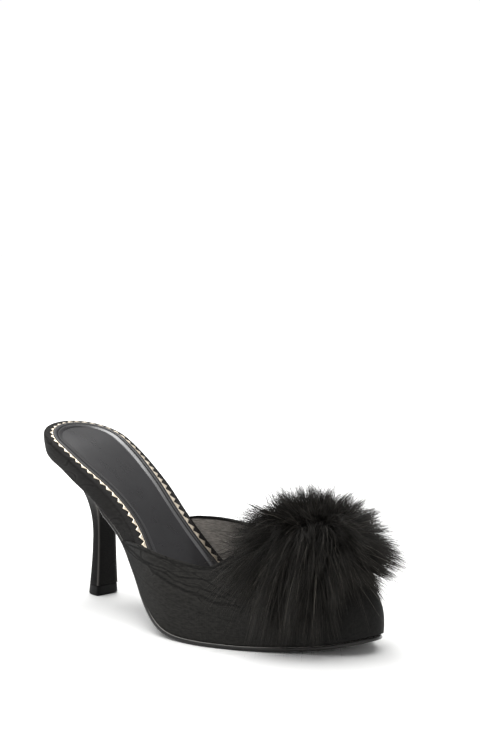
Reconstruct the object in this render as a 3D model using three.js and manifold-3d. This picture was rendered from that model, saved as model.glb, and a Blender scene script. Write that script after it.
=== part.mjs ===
// A woman's high-heeled mule for the right foot: a covered footbed and slim flared heel, a vamp of watered
// fabric that leaves the heel bare, a sock with a pinked metallic edge, and a deep fur pompom on the vamp.
// Millimetres, +Z up. +X points to the toe and +Y to the inner side of the foot.
// The origin is on the floor, at the middle of the top lift.
import * as THREE from "three";
import { mergeVertices } from "three/addons/utils/BufferGeometryUtils.js";
import Module from "manifold-3d";

const wasm = await Module();
wasm.setup();

// Driving dimensions of the last
const shoeLength = 224.8;
const ballWidth = 80;
const seatWidth = 52;
const seatRise = 78;
const toeSpring = 7.5;
const seatRound = 24;
const toeRound = 15;

// Sole, footbed and sock
const gap = 0.3;
const soleThickness = 2.2;
const soleMargin = 0.5;
const waistTuck = 1;
const toeTuck = 1.8;
const soleEdgeRound = 0.9;
const seatThickness = 11.2;
const waistThickness = 10.2;
const foreThickness = 4;
const seatTaper = 3.4;
const wrapInset = 0.5;
const seatBorder = 4.2;
const waistBorder = 6.2;
const rimDrop = 2.8;
const dishDepth = 1.2;
const borderGap = 0.3;
const sockThickness = 1.1;
const edgeThickness = 0.6;
const edgeReach = 1.2;
const edgeUnderlap = 1.4;
const toothDepth = 1.9;
const toothPitch = 5.2;
const edgeEnd = 0.47;

// Heel and top lift
const heelFromBack = 34.2;
const liftThickness = 5.5;
const tipWidth = 14.5;
const tipDepth = 11;
const neckWidth = 12.2;
const neckDepth = 8.4;
const neckHeight = 33;
const cupInset = 4.9;
const cupBend = 0.58;
const breastBend = 0.78;
const breastFromBack = 54.8;

// Upper
const wall = 1.6;
const vampHeight = 46;
const toeSetback = 15;
const sideBulge = 1.5;
const toplineHeight = 45.5;
const toplineTilt = 0.155;
const throatFromBack = 164.3;
const throatReach = 14;
const throatRise = 11;

// Pompom
const furFromBack = 193.8;
const furHeight = 48;
const furSide = -1;
const furReach = 37;
const furTall = 36;
const coreShare = 0.76;
const lockWidth = 17;

const clamp = (v, low, high) => Math.min(high, Math.max(low, v));
const mix = (a, b, t) => a + (b - a) * t;
const mixPoint = (a, b, t) => a.map((v, k) => mix(v, b[k], t));
const ramp = (v, low, high) => {
  const t = clamp((v - low) / (high - low), 0, 1);
  return t * t * (3 - 2 * t);
};
const steps = (count) => Array.from({ length: count + 1 }, (_, i) => i / count);

// A smooth curve through a table's rows that never overshoots them, and runs straight on past its ends.
function curveOf(rows, column) {
  const x = rows.map((row) => row.at);
  const y = rows.map((row) => row[column]);
  const step = x.slice(1).map((v, i) => (y[i + 1] - y[i]) / (v - x[i]));
  const slope = x.map((_, i) => {
    if (i === 0) return step[0];
    if (i === x.length - 1) return step[i - 1];
    const [before, after] = [step[i - 1], step[i]];
    return before * after <= 0 ? 0 : (2 * before * after) / (before + after);
  });
  return (at) => {
    const v = clamp(at, x[0], x[x.length - 1]);
    const i = clamp(x.findIndex((edge) => edge >= v) - 1, 0, x.length - 2);
    const width = x[i + 1] - x[i];
    const s = (v - x[i]) / width;
    const past = at - v;
    return (
      y[i] * (1 + 2 * s) * (1 - s) ** 2 +
      slope[i] * width * s * (1 - s) ** 2 +
      y[i + 1] * s * s * (3 - 2 * s) +
      slope[i + 1] * width * s * s * (s - 1) +
      past * (past < 0 ? slope[0] : slope[x.length - 1])
    );
  };
}

// Sections of the last, from the back of the heel to the toe, at shares of the shoe's length.
// half is the feather line's half width, and middle the place of its middle towards the inner side,
// as a share of the ball width. arch is a share of the seat's rise, and spring one of the toe spring.
const lastRows = [
  { at: 0.0, half: 0.5 * seatWidth, middle: 0.0, arch: 1.0, spring: 0 },
  { at: 0.101, half: 0.495 * seatWidth, middle: -0.004, arch: 0.888, spring: 0 },
  { at: 0.171, half: 0.48 * seatWidth, middle: -0.002, arch: 0.78, spring: 0 },
  { at: 0.252, half: 0.435 * seatWidth, middle: -0.003, arch: 0.648, spring: 0 },
  { at: 0.338, half: 0.267 * ballWidth, middle: -0.031, arch: 0.488, spring: 0 },
  { at: 0.424, half: 0.304 * ballWidth, middle: -0.084, arch: 0.3, spring: 0 },
  { at: 0.495, half: 0.36 * ballWidth, middle: -0.108, arch: 0.14, spring: 0 },
  { at: 0.56, half: 0.428 * ballWidth, middle: -0.092, arch: 0.04, spring: 0 },
  { at: 0.616, half: 0.472 * ballWidth, middle: -0.057, arch: 0.003, spring: 0 },
  { at: 0.677, half: 0.497 * ballWidth, middle: -0.018, arch: 0, spring: 0 },
  { at: 0.752, half: 0.462 * ballWidth, middle: 0.02, arch: 0, spring: 0 },
  { at: 0.818, half: 0.384 * ballWidth, middle: 0.042, arch: 0, spring: 0.04 },
  { at: 0.883, half: 0.284 * ballWidth, middle: 0.052, arch: 0, spring: 0.2 },
  { at: 0.939, half: 0.205 * ballWidth, middle: 0.054, arch: 0, spring: 0.48 },
  { at: 1.0, half: 0.15 * ballWidth, middle: 0.05, arch: 0, spring: 1 },
];

// The tables' curves are averaged over a short stretch, which takes the last corners out of them.
const averageReach = 0.022 * shoeLength;
function smoothOf(column) {
  const curve = curveOf(lastRows, column);
  return (x) => {
    const reach = clamp(Math.min(x, shoeLength - x), 0, averageReach);
    const taps = [-1, -0.6, -0.2, 0.2, 0.6, 1];
    return taps.reduce((sum, tap) => sum + curve((x + tap * reach) / shoeLength), 0) / taps.length;
  };
}
const tableHalf = smoothOf("half");
const middleShare = smoothOf("middle");
const archShare = smoothOf("arch");
const springShare = smoothOf("spring");
const middleAt = (x) => middleShare(x) * ballWidth;
const riseAt = (x) => gap + soleThickness + archShare(x) * seatRise + springShare(x) * toeSpring;
const leanAt = (x) => Math.atan(riseAt(x + 0.5) - riseAt(x - 0.5));

// A station t runs from 0 at the back to 1 at the toe, crowded at both ends, which are rounded.
const stationX = (t) => (shoeLength * (1 - Math.cos(Math.PI * t))) / 2;
const stationOf = (x) => Math.acos(1 - (2 * x) / shoeLength) / Math.PI;
const roundEnd = (distance, radius) => Math.sqrt(1 - clamp(1 - distance / radius, 0, 1) ** 2);
const outline = (t, side) => {
  const x = stationX(t);
  const half = tableHalf(x) * roundEnd(x, seatRound) * roundEnd(shoeLength - x, toeRound);
  return new THREE.Vector2(x, middleAt(x) + side * half);
};
const inwardAt = (t, side) => {
  if (t <= 0) return new THREE.Vector2(1, 0);
  if (t >= 1) return new THREE.Vector2(-1, 0);
  const reach = Math.min(0.002, t, 1 - t);
  const along = outline(t + reach, side).sub(outline(t - reach, side)).normalize();
  return new THREE.Vector2(side * along.y, -side * along.x);
};

// The outline moved in by an inset, in plan, and a point at a height along the feather plane's normal.
const insetPoint = (t, side, inset) => outline(t, side).addScaledVector(inwardAt(t, side), inset);
const place = (x, y, height) => {
  const lean = leanAt(x);
  return [x - heelFromBack - height * Math.sin(lean), y, riseAt(x) + height * Math.cos(lean)];
};
const rimPoint = (t, side, inset, height) => {
  const point = insetPoint(t, side, inset);
  return place(point.x, point.y, height);
};

// A closed solid from points and triangles, whichever way round these run.
function solidOf(positions, triangles) {
  const raw = new THREE.BufferGeometry();
  raw.setAttribute("position", new THREE.Float32BufferAttribute(positions.flat(), 3));
  raw.setIndex(triangles.flat());
  const merged = mergeVertices(raw, 1e-3);
  const index = merged.index.array;
  const kept = [];
  for (let i = 0; i < index.length; i += 3) {
    const [a, b, c] = [index[i], index[i + 1], index[i + 2]];
    if (a !== b && b !== c && c !== a) kept.push([a, b, c]);
  }
  const make = (faces) =>
    new wasm.Manifold(
      new wasm.Mesh({
        numProp: 3,
        vertProperties: new Float32Array(merged.attributes.position.array),
        triVerts: new Uint32Array(faces.flat()),
      }),
    );
  const solid = make(kept);
  return solid.volume() > 0 ? solid : make(kept.map(([a, b, c]) => [a, c, b]));
}

// A solid through closed loops of points, one after the other. An end loop that folds onto itself needs no cap.
function loft(loops, capStart = true, capEnd = true) {
  const width = loops[0].length;
  const positions = loops.flat();
  const triangles = [];
  for (let row = 0; row < loops.length - 1; row += 1) {
    for (let i = 0; i < width; i += 1) {
      const a = row * width + i;
      const b = row * width + ((i + 1) % width);
      triangles.push([a, b, b + width], [a, b + width, a + width]);
    }
  }
  const cap = (row, flip) => {
    const middle = positions.length;
    const loop = loops[row];
    positions.push([0, 1, 2].map((k) => loop.reduce((sum, point) => sum + point[k], 0) / width));
    for (let i = 0; i < width; i += 1) {
      const a = row * width + i;
      const b = row * width + ((i + 1) % width);
      triangles.push(flip ? [middle, b, a] : [middle, a, b]);
    }
  };
  if (capStart) cap(0, true);
  if (capEnd) cap(loops.length - 1, false);
  return solidOf(positions, triangles);
}

// Footbed
// The moulded board and its fabric wrap, as one solid with a rounded rim and a dished top.
const thicknessAt = (x) => {
  const back = mix(seatThickness, waistThickness, ramp(x / shoeLength, 0.15, 0.4));
  return mix(back, foreThickness, ramp(x / shoeLength, 0.45, 0.66));
};
const borderAt = (x) => mix(seatBorder, waistBorder, ramp(x / shoeLength, 0.12, 0.36));
const topHeight = (x, inset) => thicknessAt(x) - rimDrop * clamp(1 - inset / borderAt(x), 0, 1) ** 2.2;
const dishAt = (x) => dishDepth * (1 - ramp(x / shoeLength, 0.3, 0.5));
const crownPoint = (t, side, inset, lift) => {
  const point = insetPoint(t, side, inset);
  return place(point.x, point.y, topHeight(point.x, inset) + lift);
};
const bedStations = 50;

// The bed's top across one station, inside the border, from the outer to the inner side.
const bedTop = (t, past, lift) => {
  const inset = borderAt(stationX(t)) + past;
  const near = insetPoint(t, -1, inset);
  const far = insetPoint(t, 1, inset);
  const fullSag = Math.min(1, (2 * near.distanceTo(far)) / seatWidth);
  return [0, 0.25, 0.5, 0.75, 1].map((share) => {
    const point = near.clone().lerp(far, share);
    const sag = fullSag * dishAt(point.x) * Math.sin(Math.PI * share);
    return place(point.x, point.y, topHeight(point.x, inset) - sag + lift);
  });
};

function footbedSolid() {
  const rim = (t, side) => {
    const x = stationX(t);
    const taper = mix(seatTaper, 0.3, ramp(x / shoeLength, 0.14, 0.3));
    const wrap = wrapInset * ramp(x / shoeLength, 0.24, 0.34);
    const shoulder = thicknessAt(x) - rimDrop;
    const wallRows = [
      { inset: taper + 1.2, height: 0 },
      { inset: taper, height: 0.25 * shoulder },
      { inset: 0.45 * taper, height: 0.6 * shoulder },
      { inset: 0, height: shoulder - 0.4 },
    ];
    const crownInsets = [0.06, 0.25, 0.6].map((share) => share * borderAt(x));
    return [
      ...wallRows.map(({ inset, height }) => rimPoint(t, side, wrap + inset, height)),
      ...crownInsets.map((inset) => crownPoint(t, side, wrap + inset, 0)),
    ];
  };
  const loops = steps(bedStations).map((t) => [...rim(t, -1), ...bedTop(t, 0, 0), ...rim(t, 1).reverse()]);
  return loft(loops, false, false);
}

// Sock
// A leather sheet on the bed, which steps over the metallic edge strip under its border.
function sockSolid() {
  const edgeLift = gap + edgeThickness + gap;
  const pastStep = borderGap + edgeUnderlap + gap;
  const loops = steps(bedStations).map((t) => {
    const border = bedTop(t, borderGap + 0.4, edgeLift + sockThickness);
    const edge = bedTop(t, borderGap, edgeLift);
    const step = bedTop(t, pastStep, edgeLift);
    const top = [border[0], ...bedTop(t, pastStep + 1.2, gap + sockThickness), border[4]];
    const under = [edge[4], step[4], ...bedTop(t, pastStep + 0.3, gap).reverse(), step[0], edge[0]];
    return [...top, ...under];
  });
  return loft(loops, false, false);
}

// Sock edge
// A metallic strip round the seat and waist, pinked along its outer side, under the sock's border.
function sockEdgeSolid() {
  const endStation = stationOf(edgeEnd * shoeLength);
  const at = (s) => [endStation * Math.abs(s), Math.sign(s) || 1];
  const insetAt = (s) => borderAt(stationX(at(s)[0])) + borderGap;
  const fine = steps(600).map((share) => 2 * share - 1);
  const lengths = [0];
  for (let i = 1; i < fine.length; i += 1) {
    const [here, before] = [fine[i], fine[i - 1]].map((s) => insetPoint(...at(s), insetAt(s)));
    const stride = here.distanceTo(before);
    lengths.push(lengths[i - 1] + stride);
  }
  const total = lengths[lengths.length - 1];
  const count = 2 * Math.round(total / toothPitch);
  const loops = steps(count).map((share, i) => {
    const s = fine[clamp(lengths.findIndex((length) => length >= share * total - 1e-6), 0, fine.length - 1)];
    const outer = insetAt(s) - edgeReach - (i % 2 ? toothDepth : 0);
    const inner = insetAt(s) + edgeUnderlap;
    const corner = (inset, lift) => crownPoint(...at(s), inset, gap + lift);
    const bend = 0.82 * insetAt(s);
    const under = [outer, bend, inner].map((inset) => corner(inset, 0));
    const over = [inner, bend, outer].map((inset) => corner(inset, edgeThickness));
    return [...under, ...over];
  });
  return loft(loops);
}

// Outsole
// A thin sole with a rounded edge, from the front of the heel to the toe.
function outsoleSolid(clearance) {
  const start = stationOf(breastFromBack - clearance);
  const loops = steps(36).map((step) => {
    const t = mix(start, 1, step);
    const top = -gap + clearance;
    const bottom = -gap - soleThickness - clearance;
    const share = stationX(t) / shoeLength;
    const tuck = waistTuck * (1 - ramp(share, 0.42, 0.58)) + toeTuck * ramp(share, 0.86, 1);
    const edge = tuck - soleMargin - clearance;
    const profile = [
      [edge + soleEdgeRound, bottom],
      [edge + 0.25, bottom + 0.4],
      [edge, bottom + 1],
      [edge + 0.3, top],
    ];
    const near = profile.map(([inset, height]) => rimPoint(t, -1, inset, height));
    const far = profile.map(([inset, height]) => rimPoint(t, 1, inset, height)).reverse();
    return [...near, ...far];
  });
  return loft(loops, true, false);
}

// Heel and top lift
// The stem is a D in plan, with a flat breast in front. Its cup spreads to the underside of the seat.
const flatTurns = steps(6).slice(0, -1).map((share) => ({ flat: true, share }));
const roundTurns = steps(22).slice(0, -1).map((share) => ({ flat: false, share }));
const heelTurns = [...flatTurns, ...roundTurns];
// The D: u from -0.5 at the back to 0.5 at the breast, v from -0.5 on the outer side to 0.5.
const dPoint = ({ flat, share }) => {
  if (flat) return [0.5 - 0.05 * Math.abs(2 * share - 1) ** 6, share - 0.5];
  const angle = Math.PI * share;
  const v = 0.5 * Math.sign(Math.cos(angle)) * Math.abs(Math.cos(angle)) ** 0.8;
  return [0.45 - 0.95 * Math.sin(angle) ** 0.9, v];
};
const stemPoint = (turn, height, shrink = 0) => {
  const flare = (1 - clamp(height / neckHeight, 0, 1)) ** 1.6;
  const width = mix(neckWidth, tipWidth, flare) - 2 * shrink;
  const depth = mix(neckDepth, tipDepth, flare) - 2 * shrink;
  const [u, v] = dPoint(turn);
  return [tipDepth / 2 - shrink - depth / 2 + u * depth, v * width, height];
};
const cupPoint = ({ flat, share }) => {
  const breast = stationOf(breastFromBack - gap);
  const sideInset = 1.5;
  if (flat) return mixPoint(rimPoint(breast, -1, sideInset, -gap), rimPoint(breast, 1, sideInset, -gap), share);
  const t = breast * Math.abs(2 * share - 1);
  const side = share < 0.5 ? 1 : -1;
  return rimPoint(t, side, mix(cupInset, sideInset, ramp(t / breast, 0.45, 1)), -gap);
};

function heelSolid() {
  const stem = steps(4).map((share) => {
    const height = mix(liftThickness + gap, neckHeight, share);
    return heelTurns.map((turn) => stemPoint(turn, height));
  });
  const cup = steps(9).slice(1).map((share) =>
    heelTurns.map((turn) => {
      const start = stemPoint(turn, neckHeight);
      const end = cupPoint(turn);
      const toBreast = turn.flat ? 1 : Math.abs(2 * turn.share - 1) ** 2;
      const bend = [start[0], start[1], mix(neckHeight, end[2], mix(cupBend, breastBend, toBreast))];
      return mixPoint(mixPoint(start, bend, share), mixPoint(bend, end, share), share);
    }),
  );
  return loft([...stem, ...cup]);
}

function liftSolid() {
  const rings = [
    { height: 0, shrink: 0.5 },
    { height: 0.5, shrink: 0 },
    { height: liftThickness, shrink: 0 },
  ];
  return loft(rings.map(({ height, shrink }) => heelTurns.map((turn) => stemPoint(turn, height, shrink))));
}

// Upper
// The vamp springs from the feather line on both sides and meets in a ridge. Near the toe the ridge
// point is set back from the feather point, so that the sections fan round the toe.
// high is the ridge's height, as a share of the vamp's.
const ridgeRows = [
  { at: 0.242, high: 2.2 },
  { at: 0.444, high: 1.62 },
  { at: 0.596, high: 1.2 },
  { at: 0.697, high: 1.04 },
  { at: 0.778, high: 0.95 },
  { at: 0.848, high: 0.865 },
  { at: 0.899, high: 0.79 },
  { at: 0.939, high: 0.71 },
];
const ridgeShare = curveOf(ridgeRows, "high");
const vampStart = 0.24;

// The form moved in by an inset, with a straight skirt that reaches below the feather line.
function vampForm(inset, skirt) {
  const loops = steps(27).map((share) => {
    const t = mix(stationOf(vampStart * shoeLength - Math.max(0, inset)), 1, share);
    const x = stationX(t);
    const toe = ramp(x / shoeLength, 0.86, 1);
    const ridgeX = x - toeSetback * ramp(x / shoeLength, 0.78, 1);
    const ridge = new THREE.Vector2(ridgeX, middleAt(ridgeX));
    const top = vampHeight * ridgeShare(ridgeX / shoeLength) - inset;
    const power = 2 / mix(2.5, 2.15, toe);
    const foot = (side) => {
      const point = insetPoint(t, side, inset);
      return [point.x - heelFromBack, point.y, riseAt(x) - skirt];
    };
    const arch = steps(22).map((turn) => {
      const angle = Math.PI * turn;
      const side = turn <= 0.5 ? -1 : 1;
      const reach = insetPoint(t, side, inset).sub(ridge);
      const bulge = sideBulge * Math.abs(Math.sin(2 * angle)) * Math.abs(Math.cos(angle));
      const across = Math.abs(Math.cos(angle)) ** power + bulge / Math.max(1, reach.length());
      const spot = ridge.clone().addScaledVector(reach, across);
      return [spot.x - heelFromBack, spot.y, mix(riseAt(x), top, Math.sin(angle) ** power)];
    });
    return skirt > 0 ? [foot(-1), ...arch, foot(1)] : arch;
  });
  return loft(loops, true, false);
}

// The topline as a surface over the floor plan. What lies above it is cut away.
// high is a share of the topline's height.
const toplineRows = [
  { at: 0.192, high: 0.86 },
  { at: 0.35, high: 0.915 },
  { at: 0.414, high: 0.975 },
  { at: 0.495, high: 1.005 },
  { at: 0.555, high: 0.985 },
  { at: 0.606, high: 0.955 },
  { at: 0.677, high: 0.915 },
  { at: 0.798, high: 0.9 },
];
const toplineShare = curveOf(toplineRows, "high");
const toplineZ = (x, y, lift) => {
  const throat = throatRise * (Math.max(0, x - throatFromBack + throatReach) / throatReach) ** 2;
  return toplineHeight * toplineShare(x / shoeLength) + toplineTilt * y + throat + lift;
};

function toplineCutter(lift) {
  const top = 3 * vampHeight;
  const start = 0.15 * shoeLength;
  const end = throatFromBack + throatReach;
  const half = 0.75 * ballWidth;
  const loops = steps(34).map((share) => {
    const x = mix(start, end, share);
    const under = [-half, 0, half].map((y) => [x - heelFromBack, y, toplineZ(x, y, lift)]);
    return [...under, [x - heelFromBack, half, top], [x - heelFromBack, -half, top]];
  });
  return loft(loops);
}

const skirt = 8;
const upper = vampForm(0, 0).subtract(vampForm(wall, skirt)).subtract(toplineCutter(0));

// The bed is rebated where the upper lies against it, from the upper's own form.
const rebate = vampForm(-3, skirt).subtract(vampForm(wall + gap, 2 * skirt)).subtract(toplineCutter(gap));

// Pompom
// A dense core with tapered locks fused on, which lean over more the lower they stand.
// rise is a lock's angle over level in degrees, reach a share of the fur's, and droop a share of the lock's.
const lockRows = [
  { rise: 90, count: 1, reach: 0.98, droop: 0 },
  { rise: 66, count: 6, reach: 0.98, droop: 0.04 },
  { rise: 44, count: 10, reach: 0.98, droop: 0.08 },
  { rise: 22, count: 13, reach: 1, droop: 0.14 },
  { rise: 1, count: 14, reach: 1, droop: 0.24 },
  { rise: -20, count: 14, reach: 1.03, droop: 0.34 },
];
const furCentre = new THREE.Vector3(furFromBack - heelFromBack, furSide, furHeight);
const furScale = new THREE.Vector3(furReach, furReach, furTall);

function lockSolid(rise, turn, reach, droop) {
  const angle = THREE.MathUtils.degToRad(rise);
  const [level, up] = [Math.cos(angle), Math.sin(angle)];
  const out = new THREE.Vector3(level * Math.cos(turn), level * Math.sin(turn), up);
  const across = new THREE.Vector3(-Math.sin(turn), Math.cos(turn), 0);
  const upward = out.clone().cross(across);
  const root = 0.6;
  const spot = (share) => {
    const along = furCentre.clone().addScaledVector(out.clone().multiply(furScale), share * reach);
    return along.setZ(along.z - droop * furReach * ((share - root) / (1 - root)) ** 2);
  };
  const sides = 4;
  const rings = [root, 0.84, 1].map((share) => {
    const half = 0.5 * lockWidth * (1 - ((share - root) / (1 - root)) ** 1.5);
    return Array.from({ length: sides }, (_, i) => {
      const around = (2 * Math.PI * i) / sides;
      const shift = across.clone().multiplyScalar(Math.cos(around)).addScaledVector(upward, Math.sin(around));
      return spot(share).addScaledVector(shift, half).toArray();
    });
  });
  return loft(rings, true, false);
}

function pompomSolid() {
  const core = new THREE.SphereGeometry(coreShare, 12, 8).scale(...furScale.toArray());
  core.translate(...furCentre.toArray());
  const corners = core.attributes.position;
  const points = Array.from({ length: corners.count }, (_, i) => new THREE.Vector3().fromBufferAttribute(corners, i));
  let fur = solidOf(points.map((point) => point.toArray()), Array.from(core.index.array));
  lockRows.forEach(({ rise, count, reach, droop }, row) => {
    for (let i = 0; i < count; i += 1) {
      const ripple = 1 + 0.07 * Math.sin(2.4 * i + 1.7 * row);
      const turn = (2 * Math.PI * (i + 0.5 * (row % 2))) / count;
      fur = fur.add(lockSolid(rise + 4 * Math.sin(1.9 * i + row), turn, reach * ripple, droop));
    }
  });
  const pieces = fur.subtract(vampForm(-gap, skirt)).decompose();
  return pieces.reduce((largest, piece) => (piece.volume() > largest.volume() ? piece : largest));
}

const solids = {
  outsole: outsoleSolid(0),
  footbed: footbedSolid().subtract(rebate),
  sock: sockSolid(),
  sock_edge: sockEdgeSolid(),
  heel: heelSolid().subtract(outsoleSolid(gap)),
  top_lift: liftSolid(),
  upper,
  pompom: pompomSolid(),
};

const finishes = {
  outsole: { color: 0x141313, roughness: 0.3, metalness: 0 },
  footbed: { color: 0x232221, roughness: 0.55, metalness: 0 },
  sock: { color: 0x2c2b2e, roughness: 0.42, metalness: 0 },
  sock_edge: { color: 0xc9b48c, roughness: 0.35, metalness: 0.8 },
  heel: { color: 0x232221, roughness: 0.55, metalness: 0 },
  top_lift: { color: 0x141313, roughness: 0.4, metalness: 0 },
  upper: { color: 0x262524, roughness: 0.5, metalness: 0 },
  pompom: { color: 0x171513, roughness: 0.7, metalness: 0 },
};

const mule = new THREE.Group();
for (const [name, solid] of Object.entries(solids)) {
  const { vertProperties, triVerts } = solid.getMesh();
  const geometry = new THREE.BufferGeometry();
  geometry.setAttribute("position", new THREE.BufferAttribute(vertProperties, 3));
  geometry.setIndex(new THREE.BufferAttribute(triVerts, 1));
  geometry.computeVertexNormals();
  const mesh = new THREE.Mesh(geometry, new THREE.MeshStandardMaterial(finishes[name]));
  mesh.name = name;
  mule.add(mesh);
}
export default mule;
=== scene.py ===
# The looks of a high-heeled mule for the right foot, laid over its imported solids.
# Sizes are millimetres in the frame of the solids: +X to the toe, +Y to the inner side, +Z up, with
# the origin on the floor under the middle of the heel. Meshes are turned to metres as they are made.
import bpy
import numpy as np
from mathutils import Matrix, Vector


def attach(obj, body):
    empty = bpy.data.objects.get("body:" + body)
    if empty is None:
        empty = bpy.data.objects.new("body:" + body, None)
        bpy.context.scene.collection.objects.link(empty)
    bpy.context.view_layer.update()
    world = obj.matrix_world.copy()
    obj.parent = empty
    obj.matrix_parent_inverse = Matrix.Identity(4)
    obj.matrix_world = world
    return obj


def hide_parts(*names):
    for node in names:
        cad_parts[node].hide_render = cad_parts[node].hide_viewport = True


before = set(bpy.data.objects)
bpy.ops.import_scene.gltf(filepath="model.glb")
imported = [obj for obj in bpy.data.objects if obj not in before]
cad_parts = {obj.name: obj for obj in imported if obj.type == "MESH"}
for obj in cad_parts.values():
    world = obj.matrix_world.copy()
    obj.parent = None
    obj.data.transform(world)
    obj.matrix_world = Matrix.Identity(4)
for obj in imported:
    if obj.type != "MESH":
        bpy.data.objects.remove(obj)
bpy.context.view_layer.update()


# View, floor and light
# A studio sweep of white card in a white room, under a wide overhead light and one small soft box
# behind the seat. The camera stands low, ahead of the toe on the outer side.
def shade(code):
    """A #rrggbb sRGB colour as the linear colour that a socket takes."""
    srgb = np.array([int(code[i:i + 2], 16) for i in (1, 3, 5)]) / 255
    linear = np.where(srgb <= 0.04045, srgb / 12.92, ((srgb + 0.055) / 1.055) ** 2.4)
    return (*linear.tolist(), 1.0)


def add(material, kind, inputs=(), **settings):
    """Adds a node to a material or the world. inputs gives each socket a value, or the output that it
    takes. A node stands for its own first output."""
    made = material.node_tree.nodes.new("ShaderNode" + kind)
    for name, value in settings.items():
        setattr(made, name, value)
    for socket, value in dict(inputs).items():
        if isinstance(value, bpy.types.Node):
            value = value.outputs[0]
        if isinstance(value, bpy.types.NodeSocket):
            material.node_tree.links.new(value, made.inputs[socket])
        else:
            made.inputs[socket].default_value = value
    return made


def blank(name):
    """A material with no nodes yet."""
    material = bpy.data.materials.new(name)
    material.use_nodes = True
    material.node_tree.nodes.clear()
    return material


def principled(material, inputs):
    """Ends a material with a Principled shader that takes these inputs."""
    add(material, "OutputMaterial", {"Surface": add(material, "BsdfPrincipled", inputs)})
    return material


def bump(material, height, strength, distance, **under):
    """Adds a bump from a height. Normal=other lays it over another bump."""
    inputs = {"Height": height, "Strength": strength, "Distance": distance, **under}
    return add(material, "Bump", inputs)


card = blank("white_card")
card_grain = add(card, "TexNoise", {"Scale": 60.0, "Detail": 4.0})
principled(card, {"Base Color": shade("#fbfbfa"), "Roughness": 0.8, "Specular IOR Level": 0.2,
                  "Normal": bump(card, card_grain, 0.05, 0.0002)})


def new_object(name, data):
    """An object in the scene that holds this data."""
    made = bpy.data.objects.new(name, data)
    bpy.context.collection.objects.link(made)
    return made


floor_mesh = bpy.data.meshes.new("floor")
floor_mesh.from_pydata([(-6, -6, 0), (6, -6, 0), (6, 6, 0), (-6, 6, 0)], [], [(0, 1, 2, 3)])
floor_mesh.materials.append(card)
floor = new_object("floor", floor_mesh)

scene = bpy.context.scene
world = scene.world or bpy.data.worlds.new("studio")
scene.world = world
world.use_nodes = True
# The room is white round the shoe and dimmer overhead, so that only the soft box shines from above.
room_way = add(world, "TexCoord")
room_split = add(world, "SeparateXYZ", {"Vector": room_way.outputs["Generated"]})
room_dim = add(world, "MapRange", {"Value": room_split.outputs["Z"], "From Min": 0.15, "From Max": 0.6,
                                   "To Min": 1.02, "To Max": 0.4}, interpolation_type="SMOOTHSTEP")
room = world.node_tree.nodes["Background"]
room.inputs["Color"].default_value = (1, 1, 1, 1)
world.node_tree.links.new(room_dim.outputs["Result"], room.inputs["Strength"])
scene.view_settings.view_transform = "Standard"

box = bpy.data.lights.new("seat_box", "AREA")
box.size = 0.36
box.energy = 5.7
box_place = Vector((-0.355, 0.355, 0.97))
box_way = Vector((-0.02, 0.0, 0.08)) - box_place
box_turn = box_way.to_track_quat("-Z", "Y").to_matrix().to_4x4()
new_object("seat_box", box).matrix_world = Matrix.Translation(box_place) @ box_turn

haze = bpy.data.lights.new("wide_box", "SUN")
haze.energy = 3.0
haze.angle = 1.5
haze_turn = Vector((0.0, -0.2, 1)).to_track_quat("Z", "Y").to_matrix().to_4x4()
new_object("wide_box", haze).matrix_world = haze_turn

# The camera's bearing, height and distance were fitted to the shoe's outline. It is aimed above and
# to the right of the shoe, so that the shoe lies in the frame as it should with no lens shift.
bearing = np.radians(46.4)
dip = np.radians(10.5)
distance = 0.854
focal = 1697.0
picture_width = 480
picture_height = 736
shoe_across = 202.5
shoe_down = 528.3
shoe_middle = np.array([0.0782, 0.001, 0.045])
right = np.array([np.cos(bearing), np.sin(bearing), 0.0])
ahead = np.array([-np.sin(bearing) * np.cos(dip), np.cos(bearing) * np.cos(dip), -np.sin(dip)])
upward = np.cross(right, ahead)
eye = shoe_middle - ahead * distance
to_right = right * (picture_width / 2 - shoe_across) / focal
aim = ahead + to_right + upward * (shoe_down - picture_height / 2) / focal
camera_data = bpy.data.cameras.new("camera")
camera_data.sensor_width = 36.0
camera_data.lens = focal * 36.0 / picture_height
camera_data.clip_start = 0.01
camera = new_object("camera", camera_data)
camera.matrix_world = Matrix.Translation(eye) @ Vector(aim).to_track_quat("-Z", "Y").to_matrix().to_4x4()
scene.camera = camera


# Outsole
# A thin leather sole from the front of the heel to the toe, cemented under the lasted upper. Its edge
# is trimmed round, inked black and burnished.
shoe_length = 224.8
ball_width = 80.0
seat_width = 52.0
seat_rise = 78.0
toe_spring = 7.5
seat_round = 24.0
toe_round = 15.0
gap = 0.3
sole_thickness = 2.2
heel_from_back = 34.2
breast_from_back = 54.8


def ramp(v, low, high):
    """0 below low, 1 above high, and a smooth cubic step between."""
    t = np.clip((v - low) / (high - low), 0, 1)
    return t * t * (3 - 2 * t)


def part(x, low, high):
    """A ramp over the shoe's length, between shares of it."""
    return ramp(x / shoe_length, low, high)


def steps(count):
    """Even steps from 0 to 1."""
    return np.linspace(0, 1, count)


def mix(a, b, t):
    """Straight from a at 0 to b at 1."""
    return a + (b - a) * t


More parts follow.
